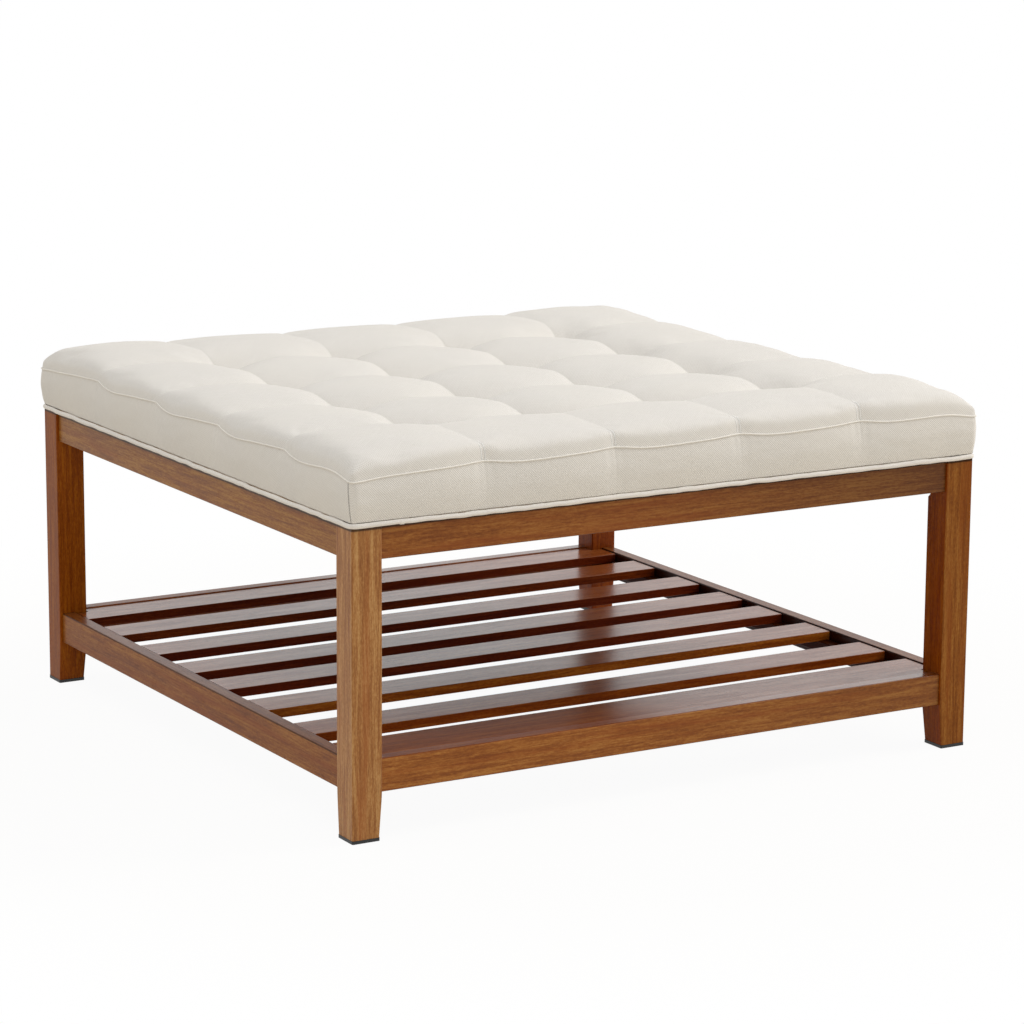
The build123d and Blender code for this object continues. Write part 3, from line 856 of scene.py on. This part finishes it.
class OTTOMAN_OT_inside(bpy.types.Operator):
    """Make the foam with its tuft wells, and dress the panel, ties and toggles"""
    bl_idname = "ottoman.inside"
    bl_label = "Foam and ties"

    def execute(self, context):
        settings = context.scene.ottoman_cushion
        wood = context.scene.ottoman_wood
        form = CushionForm(settings)
        low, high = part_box("foam_pad")
        cells, well, edge_drop = 60, 0.007, 0.006
        verts = []
        rows = [low.x + 0.001 + (high.x - low.x - 0.002) * k / cells for k in range(cells + 1)]
        for y in rows:
            for x in rows:
                r = math.hypot(form.from_line(x), form.from_line(y))
                edge = min(high.x - abs(x), high.y - abs(y))
                z = high.z - well * math.exp(-r / 0.012) - edge_drop * math.exp(-edge / 0.006)
                verts.append((x, y, z - 0.0004 + 0.0004 * rough(x, y, 2, 60)))
        faces = grid_faces(cells)
        rim = [j * (cells + 1) + i for i, j, side in grid_rim(cells)]
        above = rim
        for height in (0.75, 0.5, 0.25, 0.0):
            start = len(verts)
            for k in rim:
                x, y, z = verts[k]
                verts.append((x, y, low.z + (high.z - 0.008 - low.z) * height))
            below = list(range(start, len(verts)))
            faces += band_faces(above, below)
            above = below
        faces.append(tuple(above))
        foam = mesh_piece("foam_core", verts, faces, foam_finish("cream_foam"))
        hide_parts("foam_pad")
        dress(("top_panel",), plywood("birch_plywood", wood))
        dress(("tuft_ties",), twine("waxed_twine"))
        dress(("tuft_toggles",), plain_wood("toggle_beech", "X", wood))
        return {"FINISHED"}


class OTTOMAN_OT_dust_cover(bpy.types.Operator):
    """Stretch the black dust cloth under the panel"""
    bl_idname = "ottoman.dust_cover"
    bl_label = "Dust cloth"

    def execute(self, context):
        low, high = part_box("dust_cover")
        reach, cut = high.x, 0.036
        cells = 72
        rows = [-reach + 2 * reach * k / cells for k in range(cells + 1)]
        top = high.z - 0.0003
        verts = []
        for y in rows:
            for x in rows:
                over = max(0.0, abs(x) + abs(y) - (2 * reach - cut)) / 2
                px, py = x - math.copysign(over, x), y - math.copysign(over, y)
                corner = max(0.0, (2 * reach - cut - abs(px) - abs(py)) / 1.414)
                edge = min(reach - abs(px), reach - abs(py), corner)
                sag = 0.0035 * (1 - math.exp(-edge / 0.12))
                ripple = 0.0006 * math.exp(-edge / 0.05) * rough(px, py, 0, 30)
                verts.append((px, py, top - sag + ripple * min(1, edge / 0.02)))
        faces = grid_faces(cells)
        cloth = mesh_piece("dust_cloth", verts, faces, dust_cloth("black_spun_cloth"))
        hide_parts("dust_cover")
        return {"FINISHED"}


class OTTOMAN_OT_frame(bpy.types.Operator):
    """Finish the walnut legs, rails, aprons and shelf"""
    bl_idname = "ottoman.frame"
    bl_label = "Walnut frame"

    def execute(self, context):
        wood = context.scene.ottoman_wood
        # Each leg's tone and inner are set for how it stands to the light, the near leg lifted and the others
        # darker: partly the wood's own tone, partly painted light and shade
        legs = {"front_left": dict(tone=(1.18, 1.52, 2.5)),
                "front_right": dict(tone=(0.78, 0.77, 0.7), inner=(0.98, 0.6, 0.16), sheen=0.06),
                "back_left": dict(tone=(0.78, 0.62, 0.42), inner=(1.25, 1.1, 0.4), sheen=0.08),
                "back_right": dict(tone=(0.8, 0.66, 0.5), inner=(0.9, 0.6, 0.3), sheen=0.08)}
        for corner, look in legs.items():
            dress([corner + "_leg"], walnut("walnut_%s_leg" % corner, "Z", wood, **look))
        # The aprons carry a painted shadow along the top under the piping, lower on the side aprons, and
        # painted shade along the lower edge
        end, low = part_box("front_apron")[1].x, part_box("front_apron")[0].z
        dress(["front_apron", "back_apron"],
              walnut("walnut_end_aprons", "X", wood, (0.86, 0.83, 0.8), joint=end, under=low, fading=0.5))
        dress(["left_apron", "right_apron"],
              walnut("walnut_side_aprons", "Y", wood, (0.86, 0.94, 0.8), shaded=0.3746, joint=end, under=low))
        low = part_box("front_shelf_rail")[0].z
        # Their level faces take a tone of their own (painted light and shade), and their lower edge a painted
        # shade
        dress(["front_shelf_rail", "back_shelf_rail"],
              walnut("walnut_end_rails", "X", wood, (0.97, 0.95, 0.93), top=(0.7, 0.5, 0.4), waxed=0.9,
                     joint=end, under=low, fading=0.25, dull=0.8))
        # Inner faces nearly black: painted shade between the rails and the slat ends; edge paints a dark
        # reflection on the outer upper edge; the level faces take their own tone (painted light)
        dress(["left_shelf_rail", "right_shelf_rail"],
              walnut("walnut_side_rails", "Y", wood, (0.8, 0.76, 0.66), top=(0.6, 0.5, 0.5),
                     inner=(0.15, 0.07, 0.06), sheen=0.1, joint=end, under=low, edge=0.7))
        # The front boards are lighter and those further back, under the top, dark; upright faces take these
        # tones and level faces the lighter top: painted shade and light, with some tone from board to board
        boards = {"front_shelf_board": (0.6, 0.35, 0.18), "shelf_slat_1": (0.72, 0.44, 0.24),
                  "shelf_slat_2": (0.9, 0.68, 0.34), "shelf_slat_3": (0.38, 0.15, 0.12),
                  "shelf_slat_4": (0.34, 0.12, 0.1), "shelf_slat_5": (0.36, 0.13, 0.11),
                  "shelf_slat_6": (0.44, 0.2, 0.13), "back_shelf_board": (0.4, 0.16, 0.12)}
        for board, tone in boards.items():
            front = board == "front_shelf_board"
            top = (0.7, 0.5, 0.38) if front else (0.78, 0.56, 0.5)
            dress([board], walnut("walnut_" + board, "X", wood, tone, top=top, inner=(1, 1, 1), waxed=0.95,
                                  sheen=0.02, dull=0.8 if front else 0.0))
        # The ledgers are nearly black: painted shade under the slats
        dress(["left_shelf_ledger", "right_shelf_ledger"],
              walnut("walnut_ledgers", "Y", wood, (0.16, 0.08, 0.06), sheen=0.02, waxed=0.04))
        return {"FINISHED"}


class OTTOMAN_OT_fittings(bpy.types.Operator):
    """Finish the blocks, dowels, glides and metal fittings"""
    bl_idname = "ottoman.fittings"
    bl_label = "Blocks and fittings"

    def execute(self, context):
        wood = context.scene.ottoman_wood
        dress([corner + "_corner_block" for corner in CORNERS], plain_wood("block_beech", "X", wood))
        dress(["shelf_rail_dowels", "apron_dowels"], plain_wood("dowel_beech", "X", wood))
        dress([corner + "_glide" for corner in CORNERS], glide_plastic("black_glide_plastic"))
        metal = ["hanger_bolts", "hanger_washers", "hanger_nuts", "block_screws", "top_screws",
                 "ledger_screws", "slat_screws", "dust_cover_staples"]
        dress(metal, steel("zinc_plated_steel"))
        return {"FINISHED"}


class OTTOMAN_OT_stage(bpy.types.Operator):
    """Set the floor, the soft light and the camera"""
    bl_idname = "ottoman.stage"
    bl_label = "Stage and camera"

    def execute(self, context):
        settings = context.scene.ottoman_stage
        scene = context.scene
        scene.view_settings.view_transform = "Standard"
        self.floor(settings)
        self.room(scene, settings)
        self.lamp("key_light", (6.2, -1.5, 4.6), (0, 0, 0.35), 4.0, settings.key)
        self.lamp("overhead_light", (-1.9, -0.6, 5.2), (0, 0, 0.3), 5.0, settings.fill)
        self.camera(scene)
        return {"FINISHED"}

    def floor(self, settings):
        finish = Finish("pale_floor")
        tone = finish.cloud(finish.place, 1.5, detail=2)
        body = finish.blend(tone, tuple(c * 0.985 for c in settings.floor), tuple(settings.floor))
        x, y, z = finish.axes(finish.place)
        away = ((x * x + y * y) ** 0.5).ramp(0.75, 1.3)
        matt = finish.add("ShaderNodeBsdfDiffuse", None, {"Color": body})
        white = finish.add("ShaderNodeEmission", None, {"Color": (1.0, 1.0, 1.0), "Strength": 1.0})
        seen = finish.shows_white() * (0.95 + away * 0.05)
        mixed = finish.add("ShaderNodeMixShader", None, {0: seen, 1: matt, 2: white})
        finish.make("ShaderNodeOutputMaterial", None, {"Surface": mixed})
        verts = [(x, y, 0) for x, y in ((-40, -40), (40, -40), (40, 60), (-40, 60))]
        mesh = bpy.data.meshes.new("floor")
        mesh.from_pydata(verts, [], [(0, 1, 2, 3)])
        mesh.materials.append(finish.material)
        ground = bpy.data.objects.new("floor", mesh)
        bpy.context.scene.collection.objects.link(ground)

    def room(self, scene, settings):
        world = bpy.data.worlds.new("white_room")
        scene.world = world
        world.use_nodes = True
        graph = Graph(world.node_tree)
        light = graph.add("ShaderNodeBackground", None, {"Color": (1.0, 1.0, 1.0), "Strength": settings.sky})
        white = graph.add("ShaderNodeBackground", None, {"Color": (1.0, 1.0, 1.0), "Strength": 1.0})
        mixed = graph.add("ShaderNodeMixShader", None, {0: graph.shows_white(), 1: light, 2: white})
        graph.make("ShaderNodeOutputWorld", None, {"Surface": mixed})

    def lamp(self, name, place, target, size, power):
        data = bpy.data.lights.new(name, "AREA")
        data.shape = "DISK"
        data.size = size
        data.energy = power
        data.color = (1.0, 0.99, 0.975)
        lamp = bpy.data.objects.new(name, data)
        lamp.location = place
        lamp.rotation_euler = (Vector(target) - Vector(place)).to_track_quat("-Z", "Y").to_euler()
        bpy.context.scene.collection.objects.link(lamp)

    def camera(self, scene):
        """A long lens from the front left, a little above the top."""
        pan, tilt, roll = (math.radians(a) for a in (30.461, 11.894, 0.369))
        ahead = Vector((math.sin(pan) * math.cos(tilt), math.cos(pan) * math.cos(tilt), -math.sin(tilt)))
        right = Vector((math.cos(pan), -math.sin(pan), 0))
        up = right.cross(ahead)
        aside = math.cos(roll) * right + math.sin(roll) * up
        above = -math.sin(roll) * right + math.cos(roll) * up
        data = bpy.data.cameras.new("camera")
        data.lens = 125.59
        data.sensor_width = 36
        camera = bpy.data.objects.new("camera", data)
        camera.matrix_world = Matrix((aside, above, -ahead)).transposed().to_4x4()
        camera.location = (-2.3386, -4.0267, 1.2536)
        scene.collection.objects.link(camera)
        scene.camera = camera


class OTTOMAN_PT_sidebar(bpy.types.Panel):
    """The pieces of the table and their sizes, in the sidebar"""
    bl_idname = "OTTOMAN_PT_sidebar"
    bl_label = "Ottoman coffee table"
    bl_space_type = "VIEW_3D"
    bl_region_type = "UI"
    bl_category = "Ottoman"

    def draw(self, context):
        for name in ("ottoman_wood", "ottoman_cushion", "ottoman_stage"):
            group = getattr(context.scene, name)
            box = self.layout.box()
            for key in group.bl_rna.properties.keys():
                if key not in ("rna_type", "name"):
                    box.prop(group, key)
        for step in STEPS:
            self.layout.operator(step.bl_idname)


GROUPS = {"ottoman_wood": OttomanWood, "ottoman_cushion": OttomanCushion, "ottoman_stage": OttomanStage}
STEPS = (OTTOMAN_OT_stage, OTTOMAN_OT_frame, OTTOMAN_OT_fittings, OTTOMAN_OT_inside, OTTOMAN_OT_dust_cover,
         OTTOMAN_OT_cushion, OTTOMAN_OT_welt)


def register():
    for group in GROUPS.values():
        bpy.utils.register_class(group)
    for name, group in GROUPS.items():
        setattr(bpy.types.Scene, name, PointerProperty(type=group))
    for step in STEPS + (OTTOMAN_PT_sidebar,):
        bpy.utils.register_class(step)


def unregister():
    for step in (OTTOMAN_PT_sidebar,) + STEPS:
        bpy.utils.unregister_class(step)
    for name, group in GROUPS.items():
        delattr(bpy.types.Scene, name)
        bpy.utils.unregister_class(group)


def main():
    register()
    bpy.ops.ottoman.stage()
    bpy.ops.ottoman.frame()
    bpy.ops.ottoman.fittings()
    bpy.ops.ottoman.inside()
    bpy.ops.ottoman.dust_cover()
    bpy.ops.ottoman.cushion()
    bpy.ops.ottoman.welt()


if __name__ == "__main__":
    main()
